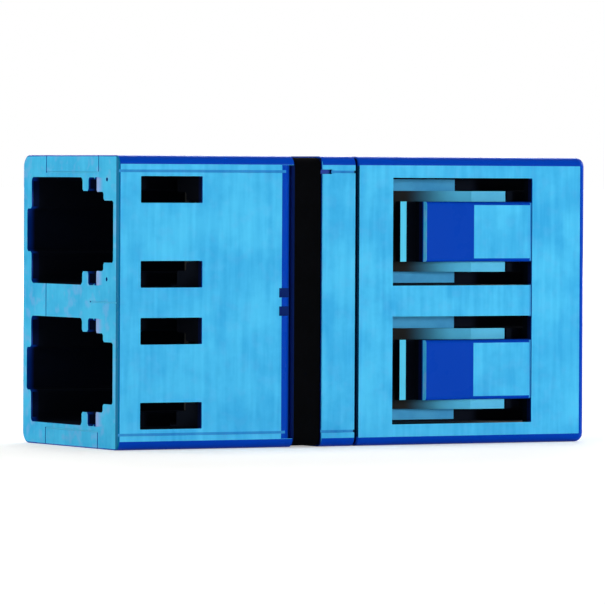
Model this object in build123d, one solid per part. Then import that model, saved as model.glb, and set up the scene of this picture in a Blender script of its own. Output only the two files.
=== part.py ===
"""Duplex LC fibre adapter: two plug ports at each end, stacked one above the other.

Frame: X runs along the adapter from the front ports (-X) to the rear ports (+X), with X = 0 on the
plane where the two ferrules meet. Z is up, in the direction in which the two ports are stacked, and
Z = 0 is the narrow side that the adapter stands on. The broad side with the latch windows faces -Y.
A "depth" is a distance into the adapter from that broad side, so depth 0 is the side itself.
All sizes are in millimetres.
"""
import os

from build123d import *

# Walls and ports across the height: side wall, cavity, web, cavity, side wall
SIDE_WALL = 0.985
CAVITY_WIDTH = 4.78
WEB_THICKNESS = 1.47

# One port through the depth, from the near broad face to the far one
CHANNEL_ROOF = 0.58
CHANNEL_HEIGHT = 0.94
STEP_HEIGHT = 0.86
SLOT_HEIGHT = 0.59
SHELF_THICKNESS = 0.58
CAVITY_HEIGHT = 5.02
FLOOR_WALL = 0.83

# What narrows a port: the shelves, the latch step, the latch channel, and the key notch
SHELF_WIDTH = 0.605
STEP_SHOULDER = 0.64
CHANNEL_SHOULDER = 0.38
NOTCH_WIDTH = 1.93
NOTCH_DEPTH = 0.43
CAVITY_CORNER_RADIUS = 0.2
PROFILE_CHAMFER = 0.09

# How near the middle the latch channel and the key notch come
CHANNEL_END = 4.3
NOTCH_END = 4.45

# Housing envelope
HOUSING_LENGTH = 24.1
NEAR_EDGE_RADIUS = 0.4
FAR_EDGE_RADIUS = 0.55
FRONT_END_RADIUS = 0.06
REAR_END_RADIUS = 0.35

# Collar round the joint between the two half housings
COLLAR_FRONT_WIDTH = 1.84
COLLAR_REAR_WIDTH = 1.8
COLLAR_STEP = 0.06
SEAM_CHAMFER = 0.055
SEAM_GAP_WIDTH = 0.16
SEAM_GAP_DEPTH = 0.15

# Groove and elastic ring in front of the collar
RING_WIDTH = 1.45
RING_GROOVE_DEPTH = 0.4
RING_SINK = 0.06
RING_EDGE_CHAMFER = 0.08
BODY_END_RUN = 0.62

# Moulding details on the broad faces
GATE_POCKET_INNER = 0.2
GATE_POCKET_OUTER = 0.62
GATE_POCKET_LEAD = 0.1
GATE_POCKET_DEPTH = 0.28
CREASE_INSET = 0.69
CREASE_WIDTH = 0.12
CREASE_DEPTH = 0.05
CREASE_START_LENGTH = 0.5
CREASE_START_WIDTH = 0.2
CREASE_START_DEPTH = 0.16

# Fine lines and index dots that the mould leaves on the front end
WITNESS_WIDTH = 0.06
WITNESS_DEPTH = 0.05
WITNESS_FAR = 7.1
WITNESS_NEAR = 2.0
WITNESS_INSET = 0.76
WEB_WITNESS_START = 0.25
WEB_WITNESS_END = 2.8
INDEX_DOT_RADIUS = 0.09
INDEX_DOT_DEPTH = 0.15
INDEX_DOT_PLACE = 1.19
INDEX_DOT_ABOVE = 2.3
INDEX_DOT_BELOW = 2.1

# Latch shoulder behind each mouth, and the windows over it
SHOULDER_LENGTH = 1.07
LEAD_IN_LENGTH = 0.1
LEAD_IN_HEIGHT = 0.45
LATCH_WINDOW_LENGTH = 3.08
LATCH_WINDOW_WIDTH = 1.18
LATCH_WINDOW_OVERHANG = 0.07
LATCH_WINDOW_RADIUS = 0.05
LATCH_POCKET_ROOF = 0.75

# Rear windows and the panel tongues inside them
REAR_WINDOW_LENGTH = 7.36
REAR_WINDOW_OVERHANG = 0.04
REAR_WINDOW_RADIUS = 0.06
TONGUE_SIDE_GAP = 1.03
TONGUE_TIP_GAP = 0.82
TONGUE_THICKNESS = 0.62
TONGUE_RAMP_LENGTH = 2.66
TONGUE_CATCH_HEIGHT = 0.32
TONGUE_LIP_LENGTH = 0.8
TONGUE_LIP_DEPTH = 0.7
TONGUE_LIP_THICKNESS = 0.4
TONGUE_EDGE_RADIUS = 0.16
TONGUE_RIM_SLOPE = 0.9
ROOT_LEDGE_LENGTH = 0.72
ROOT_LEDGE_RIB = 0.4
ROOT_LEDGE_THICKNESS = 0.4
FAR_RAMP_LAND = 0.2
FAR_RAMP_ROOT = 0.05

# Joint between the half housings
LOCATING_RIB_THICKNESS = 0.3
LOCATING_RIB_LENGTH = 0.5
NEAR_RIB_INSET = 1.5
NEAR_RIB_DEPTH = 0.34
WEB_RIB_DEPTH = 2.5
WEB_RIB_MARGIN = 0.07
RIB_CLEARANCE = 0.03

# Sleeve carriers
CARRIER_FLANGE_THICKNESS = 2.0
CARRIER_FLANGE_RIM = 0.36
CARRIER_FLANGE_TOP = 0.9
CARRIER_CORNER_RADIUS = 0.3
CARRIER_CLEARANCE = 0.03
CARRIER_SHELF_REACH = 6.8
CARRIER_ARM_THICKNESS = 0.4
FRONT_ARM_REACH = 7.27
FRONT_ARM_GAP = 0.07
ARM_SHELF_GAP = 0.07
ARM_SHELF_LAP = 0.05
ARM_TONGUE_GAP = 0.43
REAR_ARM_BEND = 2.9
REAR_ARM_LEVEL = 6.55
ARM_END_CLEARANCE = 0.09

# Sleeve holder, cap and split sleeve
SLEEVE_LENGTH = 6.8
FERRULE_RADIUS = 0.625
SLEEVE_WALL = 0.185
SLEEVE_SLIT = 0.25
SLEEVE_CLEARANCE = 0.02
SLEEVE_END_CLEARANCE = 0.1
HOLDER_WALL = 0.57
HOLDER_LIP = 0.5
HOLDER_MOUTH_CLEARANCE = 0.095
HOLDER_LEAD_IN = 0.15
CAP_SKIRT_LENGTH = 1.0
CAP_SKIRT_THICKNESS = 0.27
CAP_CLEARANCE = 0.01

# Cuts run this far past the face they open
OVERCUT = 1.0

STEP_TOP_DEPTH = CHANNEL_ROOF + CHANNEL_HEIGHT
SLOT_TOP_DEPTH = STEP_TOP_DEPTH + STEP_HEIGHT
SHELF_TOP_DEPTH = SLOT_TOP_DEPTH + SLOT_HEIGHT
CAVITY_TOP_DEPTH = SHELF_TOP_DEPTH + SHELF_THICKNESS
CAVITY_FLOOR_DEPTH = CAVITY_TOP_DEPTH + CAVITY_HEIGHT
HOUSING_DEPTH = CAVITY_FLOOR_DEPTH + FLOOR_WALL
AXIS_DEPTH = CAVITY_TOP_DEPTH + CAVITY_HEIGHT / 2

CAVITY_HALF = CAVITY_WIDTH / 2
SHELF_GAP_WIDTH = CAVITY_WIDTH - 2 * SHELF_WIDTH
STEP_WIDTH = CAVITY_WIDTH - 2 * STEP_SHOULDER
CHANNEL_WIDTH = STEP_WIDTH - 2 * CHANNEL_SHOULDER
LATCH_WINDOW_OUTER = CAVITY_HALF + LATCH_WINDOW_OVERHANG
LATCH_WINDOW_INNER = LATCH_WINDOW_OUTER - LATCH_WINDOW_WIDTH
REAR_WINDOW_HALF = CAVITY_HALF + REAR_WINDOW_OVERHANG
TONGUE_WIDTH = CAVITY_WIDTH - 2 * TONGUE_SIDE_GAP
REAR_ARM_WIDTH = SHELF_GAP_WIDTH + 2 * ARM_SHELF_LAP

PORT_PITCH = CAVITY_WIDTH + WEB_THICKNESS
HOUSING_HEIGHT = 2 * SIDE_WALL + CAVITY_WIDTH + PORT_PITCH
MID_HEIGHT = HOUSING_HEIGHT / 2
PORTS = {
    "upper": MID_HEIGHT + PORT_PITCH / 2,
    "lower": MID_HEIGHT - PORT_PITCH / 2,
}

FRONT_END = -HOUSING_LENGTH / 2
REAR_END = HOUSING_LENGTH / 2
TONGUE_ROOT = COLLAR_REAR_WIDTH + REAR_WINDOW_LENGTH
TONGUE_TIP = COLLAR_REAR_WIDTH + TONGUE_TIP_GAP
TONGUE_CATCH = TONGUE_TIP + TONGUE_LIP_LENGTH
TONGUE_RAMP_FOOT = TONGUE_CATCH + TONGUE_RAMP_LENGTH
REAR_ARM_DEPTH = TONGUE_THICKNESS + ARM_TONGUE_GAP

SLEEVE_RADIUS = FERRULE_RADIUS + SLEEVE_WALL
HOLDER_BORE_RADIUS = SLEEVE_RADIUS + SLEEVE_CLEARANCE
HOLDER_BORE_END = SLEEVE_LENGTH / 2 + SLEEVE_END_CLEARANCE
HOLDER_END = HOLDER_BORE_END + HOLDER_LIP
HOLDER_RADIUS = HOLDER_BORE_RADIUS + HOLDER_WALL
HOLDER_NECK_RADIUS = HOLDER_RADIUS - CAP_SKIRT_THICKNESS
HOLDER_MOUTH_RADIUS = FERRULE_RADIUS + HOLDER_MOUTH_CLEARANCE
CAP_SKIRT_END = -HOLDER_BORE_END + CAP_SKIRT_LENGTH


def at_depth(depth):
    """Y of a depth below the near broad face."""
    return depth - HOUSING_DEPTH / 2


def block(x, depth, z):
    """A box between two values of X, two depths and two heights."""
    size = (x[1] - x[0], depth[1] - depth[0], z[1] - z[0])
    return Pos(x[0], at_depth(depth[0]), z[0]) * Box(*size, align=(Align.MIN, Align.MIN, Align.MIN))


def centred_block(x, depth, centre, width):
    """A box of one width in Z about a port's centre height."""
    return block(x, depth, (centre - width / 2, centre + width / 2))


def paired_blocks(x, depth, centre, inner, outer):
    """Two boxes, one each side of a port's centre height."""
    upper = block(x, depth, (centre + inner, centre + outer))
    lower = block(x, depth, (centre - outer, centre - inner))
    return upper + lower


def side_prism(points, centre, width):
    """A prism with its outline in X and depth, extruded in Z about a centre height."""
    outline = Polyline(*[(x, at_depth(depth)) for x, depth in points], close=True)
    return extrude(Plane.XY.offset(centre - width / 2) * make_face(outline), width)


def tube(x, centre, radius, depth=AXIS_DEPTH):
    """A solid cylinder between two values of X, on a port's axis or at another depth."""
    plane = Plane(origin=(x[0], at_depth(depth), centre), x_dir=(0, 1, 0), z_dir=(1, 0, 0))
    return extrude(plane * Circle(radius), x[1] - x[0])


def cone(x, centre, start_radius, end_radius):
    """A cone frustum on a port's axis, between two values of X."""
    middle = (x[0] + x[1]) / 2
    place = Location((middle, at_depth(AXIS_DEPTH), centre), (0, 90, 0))
    return place * Cone(start_radius, end_radius, x[1] - x[0])


def envelope_section(inset=0.0, step=0.0):
    """The housing's outline across X, with its two near and two far corner radii."""
    half_depth = HOUSING_DEPTH / 2 + step - inset
    half_height = MID_HEIGHT - inset
    outline = Rectangle(2 * half_depth, 2 * half_height)
    near = outline.vertices().group_by(Axis.X)[0]
    outline = fillet(near, NEAR_EDGE_RADIUS)
    far = outline.vertices().group_by(Axis.X)[-1]
    return fillet(far, FAR_EDGE_RADIUS)


def envelope(x, inset=0.0, step=0.0):
    """The housing's outer form between two values of X."""
    plane = Plane(origin=(x[0], 0, MID_HEIGHT), x_dir=(0, 1, 0), z_dir=(1, 0, 0))
    return extrude(plane * envelope_section(inset, step), x[1] - x[0])


def mouth_section():
    """The outline that a plug sees: latch channel, slot, shelf gap, plug cavity and key notch."""
    widths_and_depths = [
        (CHANNEL_WIDTH, CHANNEL_ROOF, STEP_TOP_DEPTH),
        (STEP_WIDTH, STEP_TOP_DEPTH, SLOT_TOP_DEPTH),
        (CAVITY_WIDTH, SLOT_TOP_DEPTH, SHELF_TOP_DEPTH),
        (SHELF_GAP_WIDTH, SHELF_TOP_DEPTH, CAVITY_TOP_DEPTH),
        (CAVITY_WIDTH, CAVITY_TOP_DEPTH, CAVITY_FLOOR_DEPTH),
        (NOTCH_WIDTH, CAVITY_FLOOR_DEPTH, CAVITY_FLOOR_DEPTH + NOTCH_DEPTH),
    ]
    right = []
    for width, top, bottom in widths_and_depths:
        right += [(at_depth(top), width / 2), (at_depth(bottom), width / 2)]
    left = [(y, -z) for y, z in reversed(right)]
    outline = make_face(Polyline(*right, *left, close=True))
    other_corners = outline.vertices().filter_by(lambda corner: not is_cavity_corner(corner))
    outline = chamfer(other_corners, PROFILE_CHAMFER)
    cavity_corners = outline.vertices().filter_by(is_cavity_corner)
    return fillet(cavity_corners, CAVITY_CORNER_RADIUS)


def is_cavity_corner(corner):
    """Whether a vertex of the mouth's outline is one of the plug cavity's own four corners."""
    at_side = abs(abs(corner.Y) - CAVITY_HALF) < PROFILE_CHAMFER / 2
    depth = corner.X + HOUSING_DEPTH / 2
    at_top = abs(depth - CAVITY_TOP_DEPTH) < PROFILE_CHAMFER / 2
    at_floor = abs(depth - CAVITY_FLOOR_DEPTH) < PROFILE_CHAMFER / 2
    return at_side and (at_top or at_floor)


def front_port_void(centre):
    """Everything cut from the front half for one port, mouth first."""
    shelf_end = -CARRIER_SHELF_REACH
    pocket = -CARRIER_FLANGE_THICKNESS / 2
    mouth_plane = Plane(origin=(FRONT_END - OVERCUT, 0, centre), x_dir=(0, 1, 0), z_dir=(1, 0, 0))
    mouth = extrude(mouth_plane * mouth_section(), shelf_end - FRONT_END + OVERCUT)
    bore = centred_block((shelf_end, OVERCUT), (SLOT_TOP_DEPTH, CAVITY_FLOOR_DEPTH), centre, CAVITY_WIDTH)
    channel = centred_block((shelf_end, -CHANNEL_END), (CHANNEL_ROOF, SLOT_TOP_DEPTH), centre, CHANNEL_WIDTH)
    notch_depths = (CAVITY_FLOOR_DEPTH, CAVITY_FLOOR_DEPTH + NOTCH_DEPTH)
    notch = centred_block((shelf_end, -NOTCH_END), notch_depths, centre, NOTCH_WIDTH)
    seat_depths = (CARRIER_FLANGE_TOP, CAVITY_FLOOR_DEPTH + CARRIER_FLANGE_RIM)
    seat = centred_block((pocket, OVERCUT), seat_depths, centre, CAVITY_WIDTH + 2 * CARRIER_FLANGE_RIM)
    seat = fillet(seat.edges().filter_by(Axis.X), CARRIER_CORNER_RADIUS)
    lead_in_top = SLOT_TOP_DEPTH - LEAD_IN_HEIGHT
    lead_in = side_prism(
        [
            (FRONT_END - OVERCUT, lead_in_top),
            (FRONT_END, lead_in_top),
            (FRONT_END + LEAD_IN_LENGTH, SLOT_TOP_DEPTH),
            (FRONT_END - OVERCUT, SLOT_TOP_DEPTH),
        ],
        centre,
        CAVITY_WIDTH,
    )
    return mouth + bore + channel + notch + seat + lead_in


def rounded_window(x, centre, inner, outer, radius, depth):
    """A window through the near broad face, with rounded corners, down to a depth."""
    cut = block(x, (-OVERCUT, depth), (centre + inner, centre + outer))
    return fillet(cut.edges().filter_by(Axis.Y), radius)


def latch_windows(centre):
    """The two windows over one front port's latch lugs."""
    start = FRONT_END + SHOULDER_LENGTH
    x = (start, start + LATCH_WINDOW_LENGTH)
    spans = [(LATCH_WINDOW_INNER, LATCH_WINDOW_OUTER), (-LATCH_WINDOW_OUTER, -LATCH_WINDOW_INNER)]
    cuts = [rounded_window(x, centre, *span, LATCH_WINDOW_RADIUS, SHELF_TOP_DEPTH) for span in spans]
    return cuts[0] + cuts[1]


def body_end_rounding():
    """The soft edge where the front body drops into the ring groove, on both broad faces."""
    groove_start = -COLLAR_FRONT_WIDTH - RING_WIDTH
    start = groove_start - BODY_END_RUN
    near = at_depth(0)
    arc = TangentArc((start, near), (groove_start, near + RING_GROOVE_DEPTH), tangent=(1, 0))
    rest = Polyline(
        (groove_start, near + RING_GROOVE_DEPTH),
        (groove_start, near - OVERCUT),
        (start, near - OVERCUT),
        (start, near),
    )
    height = HOUSING_HEIGHT - 2 * NEAR_EDGE_RADIUS
    plane = Plane.XY.offset(NEAR_EDGE_RADIUS)
    cut = extrude(plane * make_face(Curve() + [arc, rest]), height)
    return cut + mirror(cut, about=Plane.XZ)


def crease_lines():
    """The two fine lines along each broad face of the front half."""
    lines = Part()
    for depth in ((-OVERCUT, CREASE_DEPTH), (HOUSING_DEPTH - CREASE_DEPTH, HOUSING_DEPTH + OVERCUT)):
        for height in (CREASE_INSET, HOUSING_HEIGHT - CREASE_INSET):
            lines += centred_block((FRONT_END - OVERCUT, OVERCUT), depth, height, CREASE_WIDTH)
    start = (-COLLAR_FRONT_WIDTH, -COLLAR_FRONT_WIDTH + CREASE_START_LENGTH)
    upper_crease = HOUSING_HEIGHT - CREASE_INSET
    return lines + centred_block(start, (-OVERCUT, CREASE_START_DEPTH), upper_crease, CREASE_START_WIDTH)


def front_end_marks():
    """The fine lines round the mould's inserts, and the two dots that mark the upper port."""
    x = (FRONT_END - OVERCUT, FRONT_END + WITNESS_DEPTH)
    half = WITNESS_WIDTH / 2
    far = (WITNESS_FAR - half, WITNESS_FAR + half)
    near = (WITNESS_NEAR - half, WITNESS_NEAR + half)
    marks = centred_block(x, far, MID_HEIGHT, WEB_THICKNESS)
    marks += centred_block(x, (WEB_WITNESS_START, WEB_WITNESS_END), MID_HEIGHT, WITNESS_WIDTH)
    for edge, inset in ((0, WITNESS_INSET), (HOUSING_HEIGHT, HOUSING_HEIGHT - WITNESS_INSET)):
        z = (min(edge, inset), max(edge, inset))
        marks += block(x, far, z) + block(x, near, z)
        marks += centred_block(x, (near[0], far[1]), inset, WITNESS_WIDTH)
    dot_x = (FRONT_END, FRONT_END + INDEX_DOT_DEPTH)
    for offset in (-INDEX_DOT_BELOW, INDEX_DOT_ABOVE):
        marks += tube(dot_x, PORTS["upper"] + offset, INDEX_DOT_RADIUS, INDEX_DOT_PLACE)
    return marks


def locating_ribs(clearance=0.0):
    """Ribs on the rear half that enter slots in the front half; the slots are wider all round."""
    x = (-LOCATING_RIB_LENGTH - clearance, 0)
    near_depth = (NEAR_RIB_DEPTH - clearance, NEAR_RIB_DEPTH + LOCATING_RIB_THICKNESS + clearance)
    near_span = HOUSING_HEIGHT - 2 * NEAR_RIB_INSET
    near = centred_block(x, near_depth, MID_HEIGHT, near_span + 2 * clearance)
    web_depth = (WEB_RIB_DEPTH - clearance, CAVITY_FLOOR_DEPTH - WEB_RIB_MARGIN + clearance)
    web = centred_block(x, web_depth, MID_HEIGHT, LOCATING_RIB_THICKNESS + 2 * clearance)
    return near + web


def outer_half(collar_width, end_radius):
    """The outer form of the half that points to -X, with its share of the collar."""
    body = envelope((FRONT_END, -collar_width))
    body = fillet(body.faces().sort_by(Axis.X)[0].edges(), end_radius)
    collar = envelope((-collar_width, 0), step=COLLAR_STEP)
    return body + chamfer(collar.faces().sort_by(Axis.X)[-1].edges(), SEAM_CHAMFER)


def front_housing():
    """The half with the latch windows, the ring groove, the front of the collar and the gap at its seam."""
    body = outer_half(COLLAR_FRONT_WIDTH, FRONT_END_RADIUS)
    groove = (-COLLAR_FRONT_WIDTH - RING_WIDTH, -COLLAR_FRONT_WIDTH)
    body -= envelope(groove, inset=-OVERCUT) - envelope(groove, inset=RING_GROOVE_DEPTH)
    body -= body_end_rounding()
    gate = (groove[0] - BODY_END_RUN - GATE_POCKET_LEAD, groove[0])
    gate_depths = (-OVERCUT, GATE_POCKET_DEPTH)
    body -= paired_blocks(gate, gate_depths, MID_HEIGHT, GATE_POCKET_INNER, GATE_POCKET_OUTER)
    seam = (-SEAM_GAP_WIDTH, OVERCUT)
    body -= envelope(seam, inset=-OVERCUT) - envelope(seam, inset=SEAM_GAP_DEPTH)
    body -= crease_lines() + front_end_marks()
    for centre in PORTS.values():
        body -= front_port_void(centre) + latch_windows(centre)
    return body - locating_ribs(RIB_CLEARANCE)


def rear_window_and_pocket(centre):
    """The window over one rear port, and the pocket behind it for the plug's latch lugs."""
    window = (COLLAR_REAR_WIDTH, TONGUE_ROOT)
    half = REAR_WINDOW_HALF
    cut = rounded_window(window, centre, -half, half, REAR_WINDOW_RADIUS, SHELF_TOP_DEPTH)
    shoulder = REAR_END - SHOULDER_LENGTH
    pocket_depths = (LATCH_POCKET_ROOF, SHELF_TOP_DEPTH)
    pocket = centred_block((TONGUE_ROOT - OVERCUT, shoulder), pocket_depths, centre, 2 * LATCH_WINDOW_OUTER)
    return cut + pocket


def panel_tongue(centre):
    """One springy tongue: a flat root, a ramp up to the panel catch, and a release lip beyond it."""
    root = TONGUE_ROOT + TONGUE_THICKNESS
    underside = TONGUE_LIP_DEPTH + TONGUE_LIP_THICKNESS
    tongue = side_prism(
        [
            (root, 0),
            (TONGUE_RAMP_FOOT, 0),
            (TONGUE_CATCH, -TONGUE_CATCH_HEIGHT),
            (TONGUE_CATCH, TONGUE_LIP_DEPTH),
            (TONGUE_TIP, TONGUE_LIP_DEPTH),
            (TONGUE_TIP, underside),
            (TONGUE_CATCH, underside),
            (TONGUE_RAMP_FOOT, TONGUE_THICKNESS),
            (root, TONGUE_THICKNESS),
        ],
        centre,
        TONGUE_WIDTH,
    )
    upper_faces = tongue.faces().filter_by(lambda face: face.normal_at().Y < -TONGUE_RIM_SLOPE)
    upper_faces = upper_faces.filter_by(lambda face: face.center().X > TONGUE_CATCH)
    rims = [edge for face in upper_faces for edge in face.edges() if not edge_runs_across(edge)]
    return fillet(rims, TONGUE_EDGE_RADIUS)


def edge_runs_across(edge):
    """Whether a straight edge runs along Z."""
    return abs(edge.tangent_at(0.5).Z) > TONGUE_RIM_SLOPE


def root_ledge(centre):
    """The ledge under a tongue's root that the carrier's long arm reaches."""
    rib = (TONGUE_ROOT, TONGUE_ROOT + ROOT_LEDGE_RIB)
    toe = (TONGUE_ROOT - ROOT_LEDGE_LENGTH, TONGUE_ROOT + ROOT_LEDGE_RIB)
    bottom = REAR_ARM_DEPTH + ROOT_LEDGE_THICKNESS
    rib_block = centred_block(rib, (CHANNEL_ROOF, bottom), centre, REAR_ARM_WIDTH)
    return rib_block + centred_block(toe, (REAR_ARM_DEPTH, bottom), centre, REAR_ARM_WIDTH)


def root_crease():
    """The fine line across both tongues' roots and the web between their windows."""
    x = (TONGUE_ROOT - CREASE_WIDTH, TONGUE_ROOT)
    return centred_block(x, (-OVERCUT, CREASE_DEPTH), MID_HEIGHT, PORT_PITCH + TONGUE_WIDTH)


def far_side_ramps(centre):
    """The fixed catch on the far broad face, behind one port."""
    crest = HOUSING_DEPTH + TONGUE_CATCH_HEIGHT
    points = [
        (TONGUE_RAMP_FOOT, HOUSING_DEPTH - FAR_RAMP_ROOT),
        (TONGUE_RAMP_FOOT, HOUSING_DEPTH),
        (TONGUE_CATCH + FAR_RAMP_LAND, crest),
        (TONGUE_CATCH, crest),
        (TONGUE_CATCH, HOUSING_DEPTH - FAR_RAMP_ROOT),
    ]
    return side_prism(points, centre, TONGUE_WIDTH)


def rear_housing():
    """The half with the panel tongues and the rear part of the collar."""
    body = mirror(outer_half(COLLAR_REAR_WIDTH, REAR_END_RADIUS), about=Plane.YZ)
    for centre in PORTS.values():
        body -= mirror(front_port_void(centre), about=Plane.YZ)
        body -= rear_window_and_pocket(centre)
        body += panel_tongue(centre) + root_ledge(centre) + far_side_ramps(centre)
    return body + locating_ribs() - root_crease()


def seal_ring():
    """The elastic ring in the groove, a little below the surface round it."""
    span = (-COLLAR_FRONT_WIDTH - RING_WIDTH, -COLLAR_FRONT_WIDTH)
    ring = envelope(span, inset=RING_SINK)
    rims = ring.faces().sort_by(Axis.X)[0].edges() + ring.faces().sort_by(Axis.X)[-1].edges()
    ring = chamfer(rims, RING_EDGE_CHAMFER)
    return ring - envelope(span, inset=RING_GROOVE_DEPTH)


def carrier_arms(centre):
    """The arms of one carrier: two shelves at each end, and a roof arm over each port."""
    seat = CARRIER_FLANGE_THICKNESS / 2
    shelf_depths = (SHELF_TOP_DEPTH, CAVITY_TOP_DEPTH)
    shelf_outer = CAVITY_HALF - CARRIER_CLEARANCE
    arms = Part()
    for x in ((-CARRIER_SHELF_REACH, -seat), (seat, CARRIER_SHELF_REACH)):
        arms += paired_blocks(x, shelf_depths, centre, SHELF_GAP_WIDTH / 2, shelf_outer)
    thickness = CARRIER_ARM_THICKNESS
    front_top = SLOT_TOP_DEPTH + FRONT_ARM_GAP
    front_x = (-FRONT_ARM_REACH, -seat)
    arms += centred_block(front_x, (front_top, front_top + thickness), centre, STEP_WIDTH)
    low = SHELF_TOP_DEPTH - ARM_SHELF_GAP - thickness
    reach = TONGUE_ROOT - ROOT_LEDGE_LENGTH - ARM_END_CLEARANCE
    profile = [
        (seat, low),
        (REAR_ARM_BEND, low),
        (REAR_ARM_LEVEL, REAR_ARM_DEPTH),
        (reach, REAR_ARM_DEPTH),
        (reach, REAR_ARM_DEPTH + thickness),
        (REAR_ARM_LEVEL, REAR_ARM_DEPTH + thickness),
        (REAR_ARM_BEND, low + thickness),
        (seat, low + thickness),
    ]
    return arms + side_prism(profile, centre, REAR_ARM_WIDTH)


def sleeve_carrier(centre):
    """One carrier: a flange held between the housings, a sleeve holder through it, and its arms."""
    seat = CARRIER_FLANGE_THICKNESS / 2
    flange_top = CARRIER_FLANGE_TOP + CARRIER_CLEARANCE
    flange_bottom = CAVITY_FLOOR_DEPTH + CARRIER_FLANGE_RIM - CARRIER_CLEARANCE
    flange_width = CAVITY_WIDTH + 2 * (CARRIER_FLANGE_RIM - CARRIER_CLEARANCE)
    flange = centred_block((-seat, seat), (flange_top, flange_bottom), centre, flange_width)
    flange = fillet(flange.edges().filter_by(Axis.X), CARRIER_CORNER_RADIUS)
    body = flange + tube((CAP_SKIRT_END, HOLDER_END), centre, HOLDER_RADIUS)
    body += tube((-HOLDER_BORE_END, CAP_SKIRT_END), centre, HOLDER_NECK_RADIUS)
    body -= tube((-HOLDER_BORE_END - OVERCUT, HOLDER_BORE_END), centre, HOLDER_BORE_RADIUS)
    mouth = (HOLDER_BORE_END, HOLDER_END)
    body -= cone(mouth, centre, HOLDER_MOUTH_RADIUS, HOLDER_MOUTH_RADIUS + HOLDER_LEAD_IN)
    return body + carrier_arms(centre)


def sleeve_cap(centre):
    """The cap that closes the front end of one sleeve holder and keeps the sleeve in."""
    cap = tube((-HOLDER_END, CAP_SKIRT_END), centre, HOLDER_RADIUS)
    cap -= tube((-HOLDER_BORE_END, CAP_SKIRT_END + OVERCUT), centre, HOLDER_NECK_RADIUS + CAP_CLEARANCE)
    mouth = (-HOLDER_END, -HOLDER_BORE_END)
    return cap - cone(mouth, centre, HOLDER_MOUTH_RADIUS + HOLDER_LEAD_IN, HOLDER_MOUTH_RADIUS)


def alignment_sleeve(centre):
    """The split ceramic sleeve that lines up two ferrules; its slit faces the far side."""
    half = SLEEVE_LENGTH / 2
    sleeve = tube((-half, half), centre, SLEEVE_RADIUS)
    sleeve -= tube((-half - OVERCUT, half + OVERCUT), centre, FERRULE_RADIUS)
    slit_depths = (AXIS_DEPTH, AXIS_DEPTH + SLEEVE_RADIUS + OVERCUT)
    return sleeve - centred_block((-half - OVERCUT, half + OVERCUT), slit_depths, centre, SLEEVE_SLIT)


def sub_parts():
    """Every separate piece of the adapter, by name."""
    pieces = {
        "front_housing": front_housing(),
        "rear_housing": rear_housing(),
        "seal_ring": seal_ring(),
    }
    for name, centre in PORTS.items():
        pieces[f"{name}_sleeve_carrier"] = sleeve_carrier(centre)
        pieces[f"{name}_sleeve_cap"] = sleeve_cap(centre)
        pieces[f"{name}_alignment_sleeve"] = alignment_sleeve(centre)
    return pieces


def main():
    """Writes one STEP file for each piece."""
    os.makedirs("parts", exist_ok=True)
    for name, piece in sub_parts().items():
        export_step(piece, f"parts/{name}.step")


if __name__ == "__main__":
    main()
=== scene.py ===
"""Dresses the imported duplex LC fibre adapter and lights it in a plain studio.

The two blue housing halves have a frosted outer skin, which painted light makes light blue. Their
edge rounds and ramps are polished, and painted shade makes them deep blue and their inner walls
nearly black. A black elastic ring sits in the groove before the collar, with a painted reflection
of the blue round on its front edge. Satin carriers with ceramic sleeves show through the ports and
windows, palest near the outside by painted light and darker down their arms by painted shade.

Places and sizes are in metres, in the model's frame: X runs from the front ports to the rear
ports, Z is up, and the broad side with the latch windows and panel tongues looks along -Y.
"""

import logging
import math
from dataclasses import dataclass, field
from enum import Enum
from functools import reduce
from typing import Union

import bmesh
import bpy
from mathutils import Matrix, Vector


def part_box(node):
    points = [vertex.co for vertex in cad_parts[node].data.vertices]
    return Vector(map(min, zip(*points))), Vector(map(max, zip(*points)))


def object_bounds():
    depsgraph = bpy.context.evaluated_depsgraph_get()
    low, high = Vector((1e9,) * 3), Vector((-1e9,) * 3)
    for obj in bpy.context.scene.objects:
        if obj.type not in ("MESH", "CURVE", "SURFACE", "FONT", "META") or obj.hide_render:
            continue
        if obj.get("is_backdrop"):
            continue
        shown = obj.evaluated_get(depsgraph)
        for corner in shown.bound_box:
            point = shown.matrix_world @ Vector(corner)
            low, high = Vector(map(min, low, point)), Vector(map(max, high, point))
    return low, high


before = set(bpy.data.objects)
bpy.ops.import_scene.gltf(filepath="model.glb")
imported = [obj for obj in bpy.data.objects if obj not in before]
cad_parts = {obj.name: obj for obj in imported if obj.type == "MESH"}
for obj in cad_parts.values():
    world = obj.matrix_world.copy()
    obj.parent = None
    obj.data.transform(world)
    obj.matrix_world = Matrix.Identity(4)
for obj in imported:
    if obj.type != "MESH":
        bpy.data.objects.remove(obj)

MM = 0.001
LOG = logging.getLogger("adapter")

Colour = tuple[float, float, float]
Node = bpy.types.Node
Socket = bpy.types.NodeSocket
Term = Union[Socket, float, tuple]

WHITE: Colour = (1.0, 1.0, 1.0)


class Half(Enum):
    """The two moulded halves of the housing, by their node names."""

    FRONT = "front_housing"
    REAR = "rear_housing"


class Port(Enum):
    """The two ports, stacked along Z."""

    UPPER = "upper"
    LOWER = "lower"


class MixSocket(Enum):
    """Places of the colour sockets on a Mix node, which has several sockets of one name."""

    FACTOR = 0
    FIRST = 6
    SECOND = 7
    RESULT = 2


def rgba(colour: Colour) -> tuple[float, float, float, float]:
    """Returns a colour with full alpha."""
    return (*colour, 1.0)


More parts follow.
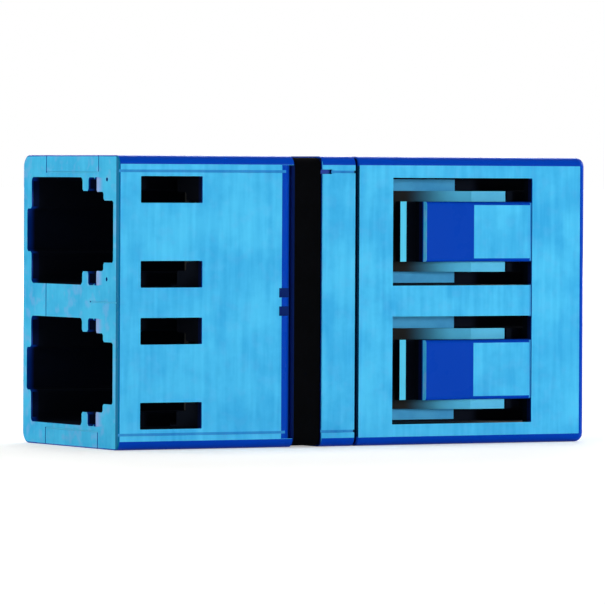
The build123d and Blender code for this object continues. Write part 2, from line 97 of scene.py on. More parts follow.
@dataclass
class Graph:
    """A node tree, with short calls that add nodes and join them."""

    tree: bpy.types.NodeTree

    def add(self, kind: str, **settings: object) -> Node:
        """Adds a node.

        Args:
            kind: The node's type name.
            settings: Values for the node's own properties.

        Returns:
            The new node.
        """
        node = self.tree.nodes.new(kind)
        for name, value in settings.items():
            setattr(node, name, value)
        return node

    def feed(self, socket: Socket, term: Term) -> None:
        """Joins an output to an input socket, or writes a plain value on it.

        Args:
            socket: The input socket.
            term: An output socket, a number, or a colour or vector.
        """
        if isinstance(term, Socket):
            self.tree.links.new(term, socket)
        else:
            socket.default_value = term

    def feed_all(self, node: Node, terms: dict[str, Term]) -> None:
        """Feeds several inputs of a node.

        Args:
            node: The node.
            terms: What goes into each input, by the input's name.
        """
        for name, term in terms.items():
            self.feed(node.inputs[name], term)

    def by_axis(self, vector: Socket) -> bpy.types.bpy_prop_collection:
        """Splits a vector.

        Args:
            vector: The vector's socket.

        Returns:
            The sockets of its parts, by the names X, Y and Z.
        """
        node = self.add("ShaderNodeSeparateXYZ")
        self.feed(node.inputs["Vector"], vector)
        return node.outputs

    def calc(self, operation: str, *terms: Term, clamp: bool = False) -> Socket:
        """Adds a Math node.

        Args:
            operation: The node's operation.
            terms: Its inputs in order.
            clamp: Whether the result is kept between 0 and 1.

        Returns:
            The result's socket.
        """
        node = self.add("ShaderNodeMath", operation=operation, use_clamp=clamp)
        for socket, term in zip(node.inputs, terms):
            self.feed(socket, term)
        return node.outputs["Value"]

    def all_of(self, *masks: Term) -> Term:
        """Returns the product of several masks."""
        return reduce(lambda first, second: self.calc("MULTIPLY", first, second), masks)

    def any_of(self, *masks: Term) -> Term:
        """Returns the greatest of several masks."""
        return reduce(lambda first, second: self.calc("MAXIMUM", first, second), masks)

    def between(self, factor: Term, first: float, second: float) -> Socket:
        """Returns a number that goes evenly from one value to another as the factor rises to 1."""
        return self.calc("MULTIPLY_ADD", factor, second - first, first)

    def span(
        self, value: Term, low: Term, high: Term, to: tuple[float, float] = (0.0, 1.0)
    ) -> Socket:
        """Maps a value smoothly from one range to another, and holds it at the ends.

        Args:
            value: What is mapped.
            low: The value that gives the first end.
            high: The value that gives the second end.
            to: The two ends of the result.

        Returns:
            The result's socket.
        """
        node = self.add("ShaderNodeMapRange", interpolation_type="SMOOTHSTEP")
        terms = {"Value": value, "From Min": low, "From Max": high, "To Min": to[0], "To Max": to[1]}
        self.feed_all(node, terms)
        return node.outputs["Result"]

    def mix(self, factor: Term, first: Term, second: Term) -> Socket:
        """Mixes two colours.

        Args:
            factor: The share of the second colour.
            first: The first colour.
            second: The second colour.

        Returns:
            The mixed colour's socket.
        """
        node = self.add("ShaderNodeMix", data_type="RGBA")
        self.feed(node.inputs[MixSocket.FACTOR.value], factor)
        self.feed(node.inputs[MixSocket.FIRST.value], first)
        self.feed(node.inputs[MixSocket.SECOND.value], second)
        return node.outputs[MixSocket.RESULT.value]

    def tint(self, base: Term, colour: Colour, *shares: Term) -> Socket:
        """Mixes a plain colour into another.

        Args:
            base: The colour beneath.
            colour: The colour that is mixed in.
            shares: Its share is the product of these.

        Returns:
            The mixed colour's socket.
        """
        return self.mix(self.all_of(*shares), base, rgba(colour))

    def noise(self, place: Term, scale: Term, detail: float, rough: float = 0.5) -> Socket:
        """Adds a noise texture.

        Args:
            place: The coordinates.
            scale: How many grains a metre holds, about.
            detail: The number of finer layers.
            rough: How strong the finer layers are.

        Returns:
            The noise value's socket.
        """
        node = self.add("ShaderNodeTexNoise")
        terms = {"Vector": place, "Scale": scale, "Detail": detail, "Roughness": rough}
        self.feed_all(node, terms)
        return node.outputs["Fac"]

    def stretched(self, place: Term, scale: tuple[float, float, float]) -> Socket:
        """Scales coordinates apart along each axis, so that noise becomes streaks.

        Args:
            place: The coordinates.
            scale: The factor along each axis.

        Returns:
            The scaled coordinates' socket.
        """
        node = self.add("ShaderNodeMapping", vector_type="POINT")
        self.feed_all(node, {"Vector": place, "Scale": scale})
        return node.outputs["Vector"]


@dataclass
class ShaderGroup:
    """A shared shader effect: a node group with named inputs and outputs."""

    name: str
    inputs: dict[str, float]
    outputs: tuple[str, ...]
    graph: Graph = field(init=False)
    source: Node = field(init=False)
    sink: Node = field(init=False)

    def __post_init__(self) -> None:
        """Makes the empty group with its sockets."""
        tree = bpy.data.node_groups.new(self.name, "ShaderNodeTree")
        for name, value in self.inputs.items():
            socket = tree.interface.new_socket(
                name, in_out="INPUT", socket_type="NodeSocketFloat"
            )
            socket.default_value = value
        for name in self.outputs:
            tree.interface.new_socket(name, in_out="OUTPUT", socket_type="NodeSocketFloat")
        self.graph = Graph(tree)
        self.source = self.graph.add("NodeGroupInput")
        self.sink = self.graph.add("NodeGroupOutput")

    def given(self, name: str) -> Socket:
        """Returns the socket that carries a named input inside the group."""
        return self.source.outputs[name]

    def placed_in(self, graph: Graph, **values: float) -> Node:
        """Places the group in a material.

        Args:
            graph: The material's graph.
            values: The inputs, with underscores for spaces.

        Returns:
            The group node.
        """
        node = graph.add("ShaderNodeGroup", node_tree=self.graph.tree)
        for name, value in values.items():
            node.inputs[name.replace("_", " ").title()].default_value = value
        return node


@dataclass(frozen=True)
class HousingForm:
    """The plain outer box of the housing, from which the skin's depth is told."""

    half_length: float
    half_depth: float
    half_height: float
    collar_step: float = 0.06 * MM

    @classmethod
    def of_frame(cls) -> "HousingForm":
        """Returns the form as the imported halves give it. The front half is deepest at its collar."""
        front_low, front_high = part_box(Half.FRONT.value)
        _, rear_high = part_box(Half.REAR.value)
        return cls(
            half_length=(rear_high.x - front_low.x) / 2,
            half_depth=(front_high.y - front_low.y) / 2 - cls.collar_step,
            half_height=(front_high.z - front_low.z) / 2,
        )


@dataclass(frozen=True)
class OuterSide:
    """Where a shaded point lies against the two outer faces across one axis."""

    graph: Graph
    side: Socket
    depth: Socket
    outward: Socket

    def faces_out(self, flatness: Term) -> Socket:
        """Returns 1 where the surface looks straight out across this axis."""
        return self.graph.calc("GREATER_THAN", self.outward, flatness)

    def lies_across(self, flatness: Term) -> Socket:
        """Returns 1 where the surface lies straight across this axis, looking out or in."""
        return self.graph.calc("GREATER_THAN", self.graph.calc("ABSOLUTE", self.outward), flatness)

    def above(self, depth: Term) -> Socket:
        """Returns 1 where the point is less deep than a limit."""
        return self.graph.calc("LESS_THAN", self.depth, depth)

    def below(self, depth: Term) -> Socket:
        """Returns 1 where the point is deeper than a limit."""
        return self.graph.calc("GREATER_THAN", self.depth, depth)


def outer_side(graph: Graph, place: Socket, normal: Socket, middle: float, half: float) -> OuterSide:
    """Measures a point against the two outer faces across one axis.

    Args:
        graph: The group's graph.
        place: The point's place along the axis.
        normal: The surface's normal along the axis.
        middle: The place half-way between the two faces.
        half: Half the distance between them.

    Returns:
        The side it lies on, its depth below that face, and how far its surface looks out of it.
    """
    offset = graph.calc("SUBTRACT", place, middle)
    side = graph.calc("SIGN", offset)
    depth = graph.calc("SUBTRACT", half, graph.calc("ABSOLUTE", offset))
    return OuterSide(graph, side, depth, graph.calc("MULTIPLY", normal, side))


SKIN_LIMITS = {
    "Skin Depth": 0.08 * MM,
    "Line Depth": 0.03 * MM,
    "Flatness": 0.9962,
    "Lip Depth": 0.70 * MM,
    # Where the painted light on the release lips gives way to the painted shadow of the catch.
    "Lip Shadow Start": 2.94 * MM,
    "Edge Width": 0.30 * MM,
    "Edge Facing": 0.3,
    "Slope Depth": 1.5 * MM,
    "Slope Top": 1.95 * MM,
    "Slope Facing": 0.975,
    "Slope Spread": 0.015,
    "Port Offset": 3.125 * MM,
    "Slot Offset": 2.07 * MM,
    "Slot Reach": 0.30 * MM,
    "Floor Depth": 0.50 * MM,
    "Inner From": 0.05 * MM,
    "Inner To": 0.42 * MM,
    "Wall Share": 0.90,
    "Seam Reach": 0.17 * MM,
}
SKIN_MASKS = (
    "Frosted Light", "Inner", "Lip", "End", "Edge", "Slope", "Worn", "Crease", "Witness", "Seam", "Depth"
)


@dataclass
class MouldedSkin:
    """Tells the frosted outer skin of the housing from its polished and inner surfaces, for painted
    light and shade.

    The mould is spark-eroded on its flat outer faces, which get painted light. The front part of the
    tongues' release lips gets painted light too, and their rest a painted shadow of the catch. Edge
    rounds and ramps are polished steel and get painted shade, and so does the edge beside the front
    mouths. The lead-in slopes in them are polished and get a painted highlight. Inner surfaces get
    painted shade. The joint between the halves is dark on the broad faces.
    """

    form: HousingForm
    group: ShaderGroup = field(init=False)
    place: bpy.types.bpy_prop_collection = field(init=False)
    ends: OuterSide = field(init=False)
    broad: OuterSide = field(init=False)
    narrow: OuterSide = field(init=False)

    def __post_init__(self) -> None:
        """Makes the group, and measures the shaded point against the outer faces."""
        self.group = ShaderGroup("Moulded skin", SKIN_LIMITS, SKIN_MASKS)
        graph, form = self.group.graph, self.form
        coords = graph.add("ShaderNodeTexCoord").outputs
        self.place = graph.by_axis(coords["Object"])
        facing = graph.by_axis(coords["Normal"])
        self.ends = outer_side(graph, self.place["X"], facing["X"], 0.0, form.half_length)
        self.broad = outer_side(graph, self.place["Y"], facing["Y"], 0.0, form.half_depth)
        self.narrow = outer_side(
            graph, self.place["Z"], facing["Z"], form.half_height, form.half_height
        )

    def near_half(self) -> Socket:
        """Returns 1 in the half of the housing behind the broad side with the tongues."""
        return self.group.graph.calc("LESS_THAN", self.broad.side, 0.0)

    def lip(self) -> Socket:
        """Returns 1 on the front of the release lips, flat below the broad side, for painted light."""
        graph, given = self.group.graph, self.group.given
        return graph.all_of(
            self.broad.faces_out(given("Flatness")),
            self.near_half(),
            graph.calc("COMPARE", self.broad.depth, given("Lip Depth"), given("Skin Depth")),
            graph.calc("LESS_THAN", self.place["X"], given("Lip Shadow Start")),
        )

    def edge(self) -> Socket:
        """Returns 1 on the narrow edge between the front end and the broad side, for painted shade."""
        graph, given = self.group.graph, self.group.given
        return graph.all_of(
            graph.calc("LESS_THAN", self.ends.side, 0.0),
            self.ends.above(given("Skin Depth")),
            self.near_half(),
            self.broad.above(given("Edge Width")),
            graph.calc("GREATER_THAN", self.ends.outward, given("Edge Facing")),
        )

    def slope(self) -> Socket:
        """Returns 1 on the lead-in slopes in the mouths, for a painted highlight."""
        graph, given = self.group.graph, self.group.given
        return graph.all_of(
            self.ends.above(given("Edge Width")),
            self.broad.below(given("Slope Depth")),
            graph.calc("COMPARE", self.ends.outward, given("Slope Facing"), given("Slope Spread")),
        )

    def glare_beside_slopes(self, end_face: Socket) -> Socket:
        """Returns the share of a painted highlight on the end face beside the lead-in slopes."""
        graph, given = self.group.graph, self.group.given
        offset = graph.calc("SUBTRACT", self.place["Z"], self.form.half_height)
        from_port = graph.calc("SUBTRACT", graph.calc("ABSOLUTE", offset), given("Port Offset"))
        reach = graph.calc("ABSOLUTE", from_port)
        return graph.all_of(
            end_face,
            graph.span(self.broad.depth, given("Slope Depth"), given("Slope Top")),
            self.broad.above(given("Slope Top")),
            graph.calc("COMPARE", reach, given("Slot Offset"), given("Slot Reach")),
        )

    def nearest_depth(self) -> Socket:
        """Returns the point's depth below the nearest outer face."""
        graph = self.group.graph
        of_two = graph.calc("MINIMUM", self.ends.depth, self.broad.depth)
        return graph.calc("MINIMUM", of_two, self.narrow.depth)

    def inner(self, nearest: Socket) -> Socket:
        """Returns the share of painted shade on a surface that lies inside: most of all deep ones and
        flat walls.
        """
        graph, given = self.group.graph, self.group.given
        flatness = given("Flatness")
        floor = graph.all_of(
            self.broad.lies_across(flatness), self.broad.below(given("Floor Depth"))
        )
        flat = graph.any_of(
            self.ends.lies_across(flatness), self.narrow.lies_across(flatness), floor
        )
        below_skin = graph.calc("GREATER_THAN", nearest, given("Skin Depth"))
        wall = graph.all_of(flat, below_skin, given("Wall Share"))
        return graph.any_of(wall, graph.span(nearest, given("Inner From"), given("Inner To")))

    def seam(self, nearest: Socket) -> Socket:
        """Returns 1 in the joint between the halves, apart from where it runs over the rounds."""
        graph, given = self.group.graph, self.group.given
        from_joint = graph.calc("ABSOLUTE", self.place["X"])
        return graph.all_of(
            graph.calc("LESS_THAN", from_joint, given("Seam Reach")),
            graph.calc("LESS_THAN", nearest, given("Inner To")),
            self.narrow.below(given("Inner To")),
        )

    def build(self) -> ShaderGroup:
        """Fills the group.

        Returns:
            The group, with a mask for each kind of surface and the depth below the broad side.
        """
        graph, given = self.group.graph, self.group.given
        skin_depth, flatness = given("Skin Depth"), given("Flatness")
        lip, edge, nearest = self.lip(), self.edge(), self.nearest_depth()
        end_face = graph.all_of(self.ends.faces_out(flatness), self.ends.above(skin_depth))
        proud_end = graph.all_of(self.ends.lies_across(flatness), self.broad.above(0.0))
        end = graph.any_of(end_face, proud_end)
        broad_face = graph.all_of(self.broad.faces_out(flatness), self.broad.above(skin_depth))
        narrow_face = graph.all_of(self.narrow.faces_out(flatness), self.narrow.above(skin_depth))
        # Flat outer faces, proud catch faces and the front of the release lips take the painted light.
        frosted_light = graph.any_of(end, broad_face, narrow_face, lip)
        masks = {
            "Frosted Light": graph.all_of(frosted_light, graph.calc("SUBTRACT", 1.0, edge)),
            "Inner": self.inner(nearest),
            "Lip": lip,
            "End": end,
            "Edge": edge,
            "Slope": self.slope(),
            "Worn": self.glare_beside_slopes(end_face),
            "Crease": graph.all_of(broad_face, self.broad.below(given("Line Depth"))),
            "Witness": graph.all_of(end_face, self.ends.below(given("Line Depth"))),
            "Seam": self.seam(nearest),
            "Depth": self.broad.depth,
        }
        graph.feed_all(self.group.sink, masks)
        return self.group


def mottle_group() -> ShaderGroup:
    """Makes the group for uneven colour in moulded plastic.

    Returns:
        A group with the outputs Cloud and Streak, each about 0.5 on average, and Fleck, which
        is mostly 0.
    """
    inputs = {"Grains": 450.0, "Streaks": 900.0, "Flecks": 1300.0}
    group = ShaderGroup("Mottle", inputs, ("Cloud", "Streak", "Fleck"))
    graph = group.graph
    along_z = (1.0, 1.0, 0.08)
    even_range, rare_range = (0.3, 0.7), (0.50, 0.72)
    coords = graph.add("ShaderNodeTexCoord").outputs["Object"]
    cloud = graph.noise(coords, group.given("Grains"), detail=4.0, rough=0.6)
    streak = graph.noise(graph.stretched(coords, along_z), group.given("Streaks"), detail=2.0)
    fleck = graph.noise(coords, group.given("Flecks"), detail=1.0)
    spans = {
        "Cloud": graph.span(cloud, *even_range),
        "Streak": graph.span(streak, *even_range),
        "Fleck": graph.span(fleck, *rare_range),
    }
    graph.feed_all(group.sink, spans)
    return group


def grain_group() -> ShaderGroup:
    """Makes the group for the fine relief of a moulded surface.

    Returns:
        A group with the output Height.
    """
    inputs = {"Grains": 9000.0, "Waves": 700.0, "Wave Share": 0.4}
    group = ShaderGroup("Fine grain", inputs, ("Height",))
    graph = group.graph
    coords = graph.add("ShaderNodeTexCoord").outputs["Object"]
    pits = graph.noise(coords, group.given("Grains"), detail=3.0, rough=0.7)
    waves = graph.noise(coords, group.given("Waves"), detail=1.0)
    slow = graph.calc("MULTIPLY", waves, group.given("Wave Share"))
    graph.feed_all(group.sink, {"Height": graph.calc("ADD", pits, slow)})
    return group


@dataclass
class Effects:
    """The shared shader groups, each built once."""

    form: HousingForm
    skin: ShaderGroup = field(init=False)
    mottle: ShaderGroup = field(init=False)
    grain: ShaderGroup = field(init=False)

    def __post_init__(self) -> None:
        """Builds the groups."""
        self.skin = MouldedSkin(self.form).build()
        self.mottle = mottle_group()
        self.grain = grain_group()

    def relief(self, graph: Graph, height: float, strength: float, **values: float) -> Socket:
        """Adds the fine grain as a bump.

        Args:
            graph: The material's graph.
            height: The relief's height.
            strength: How strongly it shows.
            values: The grain group's inputs.

        Returns:
            The bumped normal's socket.
        """
        grain = self.grain.placed_in(graph, **values)
        bump = graph.add("ShaderNodeBump")
        terms = {"Strength": strength, "Distance": height, "Height": grain.outputs["Height"]}
        graph.feed_all(bump, terms)
        return bump.outputs["Normal"]


def new_material(name: str, colour: Colour) -> tuple[bpy.types.Material, Graph, Node]:
    """Makes a material with one Principled shader.

    Args:
        name: The material's name.
        colour: The colour for plain viewports.

    Returns:
        The material, its graph and its shader node.
    """
    material = bpy.data.materials.new(name)
    material.use_nodes = True
    material.diffuse_color = rgba(colour)
    graph = Graph(material.node_tree)
    return material, graph, material.node_tree.nodes["Principled BSDF"]


@dataclass(frozen=True)
class HousingPlastic:
    """Blue moulded plastic, frosted on flat outer faces and polished on rounds, with painted light
    that makes the flat faces light blue and painted shade that makes the rounds deep blue and the
    inside nearly black.
    """

    # The light frosted colours are painted light on the flat outer faces; the deep polished colour is
    # painted shade on the same blue plastic.
    frosted_light: Colour = (0.036, 0.392, 0.765)
    pale: Colour = (0.084, 0.572, 0.925)
    fleck: Colour = (0.190, 0.430, 0.830)
    # Painted light of the front of the release lips, also used for the witness lines.
    lip: Colour = (0.110, 0.660, 0.930)
    polished_shade: Colour = (0.0, 0.047, 0.430)
    # Painted shade of the edge between the front end and the broad side.
    edge: Colour = (0.0, 0.150, 0.340)
    # Painted highlight colour of the lead-in slopes and of the glare beside them.
    slope: Colour = (0.240, 0.400, 0.800)
    # Painted shade: the inner walls are the same blue plastic, made nearly black.
    inner: Colour = (0.003, 0.005, 0.011)
    seam: Colour = (0.0, 0.030, 0.085)
    clouds: float = 0.6
    streaks: float = 0.4
    end_streaks: float = 0.18
    flecks: float = 0.08
    end_flecks: float = 0.48
    # Strength of the painted highlight beside the lead-in slopes.
    glare_share: float = 0.75
    # Share of the painted shade in the crease floors.
    crease_shade_share: float = 0.45
    # Share of the painted light in the witness line floors.
    witness_light_share: float = 0.6
    frosted_rough: float = 0.62
    polished_rough: float = 0.26
    inner_rough: float = 0.70
    rough_spread: float = 0.06
    specular: float = 0.03
    grain_height: float = 0.004 * MM
    grain_strength: float = 0.35

    def skin_colour(self, graph: Graph, skin: Node, mottle: Node) -> Socket:
        """Returns the colour of the frosted faces, with their painted light: streaky, with lilac
        flecks on the ends and a painted highlight beside the lead-in slopes.

        The floors of the creases on the broad faces get painted shade, and those of the witness lines
        on the ends painted light. The front of the release lips gets painted light too.
        """
        masks, spots = skin.outputs, mottle.outputs
        streaks = graph.between(masks["End"], self.streaks, self.end_streaks)
        cloud = graph.calc("MULTIPLY", spots["Cloud"], self.clouds)
        share = graph.calc("ADD", cloud, graph.calc("MULTIPLY", spots["Streak"], streaks))
        even = graph.mix(share, rgba(self.frosted_light), rgba(self.pale))
        flecks = graph.between(masks["End"], self.flecks, self.end_flecks)
        flecked = graph.tint(even, self.fleck, spots["Fleck"], flecks)
        # Painted highlight on the end face beside the lead-in slopes.
        glared = graph.tint(flecked, self.slope, masks["Worn"], self.glare_share)
        # Painted shade in the floors of the creases.
        creased = graph.tint(glared, self.polished_shade, masks["Crease"], self.crease_shade_share)
        # Painted light in the floors of the witness lines, against their shade.
        lined = graph.tint(creased, self.lip, masks["Witness"], self.witness_light_share)
        # Painted light: the front of the release lips is lighter than the broad faces.
        return graph.tint(lined, self.lip, masks["Lip"])

    def smooth_colour(self, graph: Graph, skin: Node) -> Socket:
        """Returns the colour of polished rounds, ramps and edges, the seam and the inner walls, with
        painted shade and a painted highlight on the lead-in slopes.
        """
        masks = skin.outputs
        # Painted shade darkens the inner surfaces nearly to black.
        body = graph.mix(masks["Inner"], rgba(self.polished_shade), rgba(self.inner))
        seamed = graph.tint(body, self.seam, masks["Seam"])
        # Painted shade along the edge between the front end and the broad side.
        edged = graph.tint(seamed, self.edge, masks["Edge"])
        # Painted highlight on the lead-in slopes.
        return graph.tint(edged, self.slope, masks["Slope"])

    def roughness(self, graph: Graph, skin: Node, mottle: Node) -> Socket:
        """Returns the roughness, which differs between polished, inner and frosted surfaces."""
        masks = skin.outputs
        smooth = graph.span(masks["Inner"], 0.0, 1.0, (self.polished_rough, self.inner_rough))
        rest = graph.calc("SUBTRACT", self.frosted_rough, smooth)
        even = graph.calc("MULTIPLY_ADD", masks["Frosted Light"], rest, smooth)
        return graph.calc("MULTIPLY_ADD", mottle.outputs["Cloud"], self.rough_spread, even)

    def material(self, effects: Effects) -> bpy.types.Material:
        """Builds the plastic.

        Args:
            effects: The shared shader groups.

        Returns:
            The material.
        """
        material, graph, shader = new_material("Housing plastic", self.frosted_light)
        skin = effects.skin.placed_in(graph)
        mottle = effects.mottle.placed_in(graph, grains=520.0, streaks=3200.0, flecks=2200.0)
        smooth = self.smooth_colour(graph, skin)
        skinned = self.skin_colour(graph, skin, mottle)
        surface = {
            # Painted light on the frosted faces, painted shade on all else.
            "Base Color": graph.mix(skin.outputs["Frosted Light"], smooth, skinned),
            "Roughness": self.roughness(graph, skin, mottle),
            "Specular IOR Level": self.specular,
            "Normal": effects.relief(graph, self.grain_height, self.grain_strength),
        }
        graph.feed_all(shader, surface)
        return material


@dataclass(frozen=True)
class Elastomer:
    """Matt black material of the seal ring, with a painted reflection of the blue groove round on its
    front edge.
    """

    colour: Colour = (0.0008, 0.0010, 0.0014)
    bloom: Colour = (0.0018, 0.0020, 0.0027)
    # Painted reflection of the blue round beside the groove.
    groove_reflection: Colour = (0.008, 0.034, 0.225)
    reflection_reach: float = 0.32 * MM
    rough: float = 0.78
    rough_spread: float = 0.12
    specular: float = 0.015
    grain_height: float = 0.008 * MM
    grain_strength: float = 0.5

    def reflection_share(self, graph: Graph, front: float) -> Term:
        """Returns the painted reflection's share, which is greatest where the front edge looks at the
        groove.
        """
        coords = graph.add("ShaderNodeTexCoord").outputs
        place, facing = graph.by_axis(coords["Object"]), graph.by_axis(coords["Normal"])
        near = graph.span(place["X"], front, front + self.reflection_reach, (1.0, 0.0))
        forward = graph.calc("MULTIPLY", facing["X"], -1.0, clamp=True)
        return graph.all_of(near, forward, forward)

    def material(self, effects: Effects, front: float) -> bpy.types.Material:
        """Builds the elastomer.

        Args:
            effects: The shared shader groups.
            front: The place of the ring's front edge along X.

        Returns:
            The material.
        """
        material, graph, shader = new_material("Ring elastomer", self.colour)
        cloud = effects.mottle.placed_in(graph, grains=900.0).outputs["Cloud"]
        cloudy = graph.mix(cloud, rgba(self.colour), rgba(self.bloom))
        surface = {
            # Painted reflection of the blue round on the ring's front edge.
            "Base Color": graph.tint(cloudy, self.groove_reflection, self.reflection_share(graph, front)),
            "Roughness": graph.calc("MULTIPLY_ADD", cloud, self.rough_spread, self.rough),
            "Specular IOR Level": self.specular,
            "Normal": effects.relief(
                graph, self.grain_height, self.grain_strength, grains=6000.0
            ),
        }
        graph.feed_all(shader, surface)
        return material


@dataclass(frozen=True)
class SatinPlastic:
    """Bluish satin plastic of the carriers and caps, with painted light that makes it palest near the
    outside and painted shade that darkens the arms inwards.
    """

    colour: Colour = (0.045, 0.330, 0.660)
    pale: Colour = (0.110, 0.600, 0.930)
    # Colour of the painted shade down the arms.
    dark: Colour = (0.014, 0.015, 0.015)
    light_depth: float = 1.25 * MM
    dark_depth: float = 2.20 * MM
    rail_depth: float = 2.93 * MM
    top_light_share: float = 0.75
    cloud_share: float = 0.25
    rough: float = 0.50
    rough_spread: float = 0.08
    specular: float = 0.08
    grain_height: float = 0.002 * MM
    grain_strength: float = 0.25

    def arm_shade(self, graph: Graph, depth: Socket) -> Term:
        """Returns the share of painted shade, which grows down the arms and ends above the rails."""
        low = graph.span(depth, self.light_depth, self.dark_depth)
        return graph.all_of(low, graph.calc("LESS_THAN", depth, self.rail_depth))

    def material(self, effects: Effects) -> bpy.types.Material:
        """Builds the satin plastic.

        Args:
            effects: The shared shader groups.

        Returns:
            The material.
        """
        material, graph, shader = new_material("Carrier plastic", self.colour)
        depth = effects.skin.placed_in(graph).outputs["Depth"]
        spots = effects.mottle.placed_in(graph, grains=900.0).outputs
        ends = (self.top_light_share, 0.0)
        # Painted light: the pale colour's share grows towards the outside.
        lit_share = graph.span(depth, self.light_depth, self.rail_depth, ends)
        share = graph.calc("MULTIPLY_ADD", spots["Cloud"], self.cloud_share, lit_share)
        cloudy = graph.mix(share, rgba(self.colour), rgba(self.pale))
        surface = {
            "Base Color": graph.tint(cloudy, self.dark, self.arm_shade(graph, depth)),
            "Roughness": graph.calc(
                "MULTIPLY_ADD", spots["Streak"], self.rough_spread, self.rough
            ),
            "Specular IOR Level": self.specular,
            "Normal": effects.relief(graph, self.grain_height, self.grain_strength),
        }
        graph.feed_all(shader, surface)
        return material


@dataclass(frozen=True)
class Ceramic:
    """Polished white ceramic of the alignment sleeves."""

    colour: Colour = (0.80, 0.79, 0.75)
    warm: Colour = (0.84, 0.82, 0.76)
    rough: float = 0.14
    rough_spread: float = 0.05
    specular: float = 0.60
    grain_height: float = 0.001 * MM
    grain_strength: float = 0.15

    def material(self, effects: Effects) -> bpy.types.Material:
        """Builds the ceramic.

        Args:
            effects: The shared shader groups.

        Returns:
            The material.
        """
        material, graph, shader = new_material("Sleeve ceramic", self.colour)
        cloud = effects.mottle.placed_in(graph, grains=1500.0).outputs["Cloud"]
        surface = {
            "Base Color": graph.mix(cloud, rgba(self.colour), rgba(self.warm)),
            "Roughness": graph.calc("MULTIPLY_ADD", cloud, self.rough_spread, self.rough),
            "Specular IOR Level": self.specular,
            "Normal": effects.relief(graph, self.grain_height, self.grain_strength),
        }
        graph.feed_all(shader, surface)
        return material


def dress(node: str, material: bpy.types.Material) -> None:
    """Gives a node of the frame its material.

    Args:
        node: The node's name.
        material: The material for all its slots.
    """
    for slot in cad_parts[node].material_slots:
        slot.material = material
    LOG.info("%s has %s", node, material.name)


@dataclass
class Housing:
    """The two blue halves of the housing."""

    plastic: HousingPlastic = HousingPlastic()

    def dress(self, effects: Effects) -> None:
        """Gives both halves the blue plastic.

        Args:
            effects: The shared shader groups.
        """
        material = self.plastic.material(effects)
        for half in Half:
            dress(half.value, material)


@dataclass
class SealRing:
    """The elastic ring in the groove before the collar."""

    elastomer: Elastomer = Elastomer()

    def dress(self, effects: Effects) -> None:
        """Gives the ring its elastomer.

        Args:
            effects: The shared shader groups.
        """
        low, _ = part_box("seal_ring")
        dress("seal_ring", self.elastomer.material(effects, low.x))


@dataclass
class SleeveUnits:
    """The inner unit of each port: a carrier, its cap and the split alignment sleeve."""

    plastic: SatinPlastic = SatinPlastic()
    ceramic: Ceramic = Ceramic()

    def dress(self, effects: Effects) -> None:
        """Gives the carriers and caps satin plastic, and the sleeves ceramic.

        Args:
            effects: The shared shader groups.
        """
        plastic = self.plastic.material(effects)
        ceramic = self.ceramic.material(effects)
        for port in Port:
            dress(f"{port.value}_sleeve_carrier", plastic)
            dress(f"{port.value}_sleeve_cap", plastic)
            dress(f"{port.value}_alignment_sleeve", ceramic)


@dataclass(frozen=True)
class SoftLamp:
    """A square softbox, placed by its bearing from the broad side and its rise in degrees."""

    name: str
    bearing: float
    rise: float
    power: float
    size: float
    colour: Colour = WHITE
    distance: float = 0.6

    def place(self, target: Vector) -> None:
        """Sets the lamp up.

        Args:
            target: The point that it shines on.
        """
        turn, lift = math.radians(self.bearing), math.radians(self.rise)
        level = math.cos(lift)
        away = Vector((math.sin(turn) * level, -math.cos(turn) * level, math.sin(lift)))
        light = bpy.data.lights.new(self.name, "AREA")
        light.energy = self.power
        light.size = self.size
        light.color = self.colour
        lamp = bpy.data.objects.new(self.name, light)
        lamp.location = target + away * self.distance
        lamp.rotation_euler = (-away).to_track_quat("-Z", "Y").to_euler()
        bpy.context.scene.collection.objects.link(lamp)
        LOG.info("lamp %s at %s", self.name, tuple(round(value, 3) for value in lamp.location))


@dataclass(frozen=True)
class PhotoCamera:
    """The photograph's viewpoint, far away with a long lens. Angles are in degrees."""

    place: tuple[float, float, float] = (-137.2 * MM, -245.25 * MM, 12.24 * MM)
    yaw: float = 29.19
    pitch: float = -1.2
    roll: float = 0.28
    focal_pixels: float = 6172.0
    picture_width: float = 605.0
    sensor_width: float = 36.0
    clip_start: float = 10 * MM
    clip_end: float = 50.0

    def axes(self) -> Matrix:
        """Returns the camera's turn, with its right, up and backward axes as columns."""
        yaw, pitch, roll = (math.radians(angle) for angle in (self.yaw, self.pitch, self.roll))
        level = math.cos(pitch)
        forward = Vector((math.sin(yaw) * level, math.cos(yaw) * level, math.sin(pitch)))
        level_right = Vector((math.cos(yaw), -math.sin(yaw), 0.0))
        level_up = level_right.cross(forward)
        right = level_right * math.cos(roll) + level_up * math.sin(roll)
        up = level_up * math.cos(roll) - level_right * math.sin(roll)
        return Matrix((right, up, -forward)).transposed()

    def set_up(self) -> None:
        """Makes this the scene's camera."""
        data = bpy.data.cameras.new("Photo camera")
        data.sensor_fit = "HORIZONTAL"
        data.sensor_width = self.sensor_width
        data.lens = self.focal_pixels / self.picture_width * self.sensor_width
        data.clip_start = self.clip_start
        data.clip_end = self.clip_end
        camera = bpy.data.objects.new("Photo camera", data)
        camera.matrix_world = Matrix.Translation(self.place) @ self.axes().to_4x4()
        bpy.context.scene.collection.objects.link(camera)
        bpy.context.scene.camera = camera


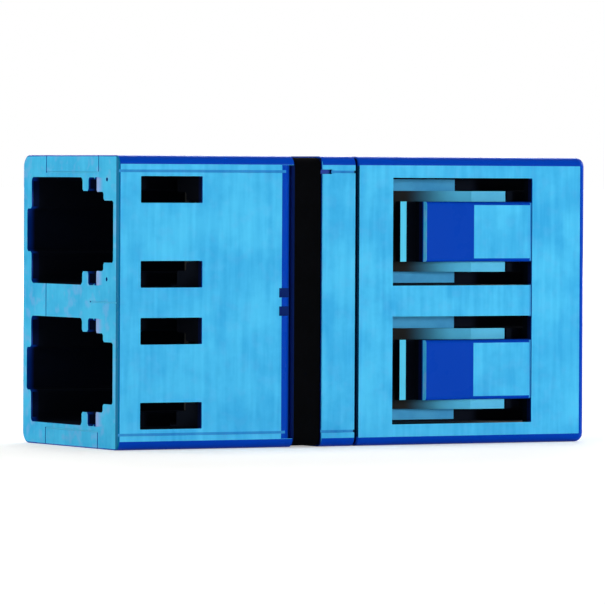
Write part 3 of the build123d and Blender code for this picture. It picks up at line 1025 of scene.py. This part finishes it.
@dataclass
class Studio:
    """A plain pale floor, a white backdrop and soft lamps.

    Only the first two lamps reach the sides that the photo shows.
    """

    floor_span: float = 8.0
    floor_cells: int = 8
    floor_colour: Colour = (0.80, 0.80, 0.80)
    near_glow: float = 0.38
    glow_from: float = 0.10
    glow_to: float = 0.60
    ambient: float = 0.12
    lamps: tuple[SoftLamp, ...] = (
        SoftLamp("Key", bearing=24.0, rise=2.5, power=2.35, size=0.07),
        SoftLamp(
            "End light", bearing=-88.5, rise=16.0, power=2.1, size=0.16, colour=(1.0, 0.97, 0.84)
        ),
        SoftLamp("Top light", bearing=180.0, rise=78.0, power=1.1, size=0.30),
        SoftLamp("Back light", bearing=152.0, rise=26.0, power=1.9, size=0.30),
        SoftLamp("Rear end light", bearing=96.0, rise=18.0, power=1.7, size=0.20),
    )
    camera: PhotoCamera = PhotoCamera()

    def lay_floor(self) -> None:
        """Lays the floor that the adapter stands on, white to the camera but for its shadow."""
        mesh = bpy.data.meshes.new("Floor")
        shape = bmesh.new()
        cells, half = self.floor_cells, self.floor_span / 2
        bmesh.ops.create_grid(shape, x_segments=cells, y_segments=cells, size=half)
        shape.to_mesh(mesh)
        shape.free()
        floor = bpy.data.objects.new("Floor", mesh)
        bpy.context.scene.collection.objects.link(floor)
        mesh.materials.append(self.floor_material())
        floor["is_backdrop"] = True

    def floor_material(self) -> bpy.types.Material:
        """Returns the floor's material.

        It glows only for rays that show it, and more so far away from the lamps.
        """
        material, graph, shader = new_material("Pale floor", self.floor_colour)
        matt = {"Base Color": rgba(self.floor_colour), "Roughness": 1.0, "Specular IOR Level": 0.0}
        graph.feed_all(shader, matt)
        reach = graph.add("ShaderNodeVectorMath", operation="LENGTH")
        graph.feed(reach.inputs[0], graph.add("ShaderNodeTexCoord").outputs["Object"])
        levels = (self.near_glow, 1.0)
        level = graph.span(reach.outputs["Value"], self.glow_from, self.glow_to, levels)
        glow = graph.add("ShaderNodeEmission")
        graph.feed(glow.inputs["Strength"], graph.calc("MULTIPLY", level, self.shown(graph)))
        both = graph.add("ShaderNodeAddShader")
        graph.feed(both.inputs[0], shader.outputs["BSDF"])
        graph.feed(both.inputs[1], glow.outputs["Emission"])
        graph.feed(graph.tree.nodes["Material Output"].inputs["Surface"], both.outputs["Shader"])
        return material

    def shown(self, graph: Graph) -> Term:
        """Returns 1 for rays that show a backdrop: camera, reflected and transmitted ones."""
        rays = graph.add("ShaderNodeLightPath").outputs
        return graph.any_of(*(rays[f"Is {kind} Ray"] for kind in ("Camera", "Glossy", "Transmission")))

    def set_world(self) -> None:
        """Gives a soft even light, with plain white behind the object."""
        world = bpy.data.worlds.new("Studio")
        world.use_nodes = True
        graph = Graph(world.node_tree)
        strength = graph.span(self.shown(graph), 0.0, 1.0, (self.ambient, 1.0))
        background = world.node_tree.nodes["Background"]
        graph.feed_all(background, {"Color": rgba(WHITE), "Strength": strength})
        bpy.context.scene.world = world

    def set_up(self, target: Vector) -> None:
        """Sets up floor, world, lamps and camera.

        Args:
            target: The middle of the object.
        """
        self.lay_floor()
        self.set_world()
        for lamp in self.lamps:
            lamp.place(target)
        self.camera.set_up()
        bpy.context.scene.view_settings.view_transform = "Standard"


def main() -> None:
    """Dresses the adapter and sets up the studio around its middle."""
    logging.basicConfig(level=logging.INFO, format="%(name)s: %(message)s")
    packed_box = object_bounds()
    effects = Effects(HousingForm.of_frame())
    Housing().dress(effects)
    SealRing().dress(effects)
    SleeveUnits().dress(effects)
    Studio().set_up((packed_box[0] + packed_box[1]) / 2)


if __name__ == "__main__":
    main()
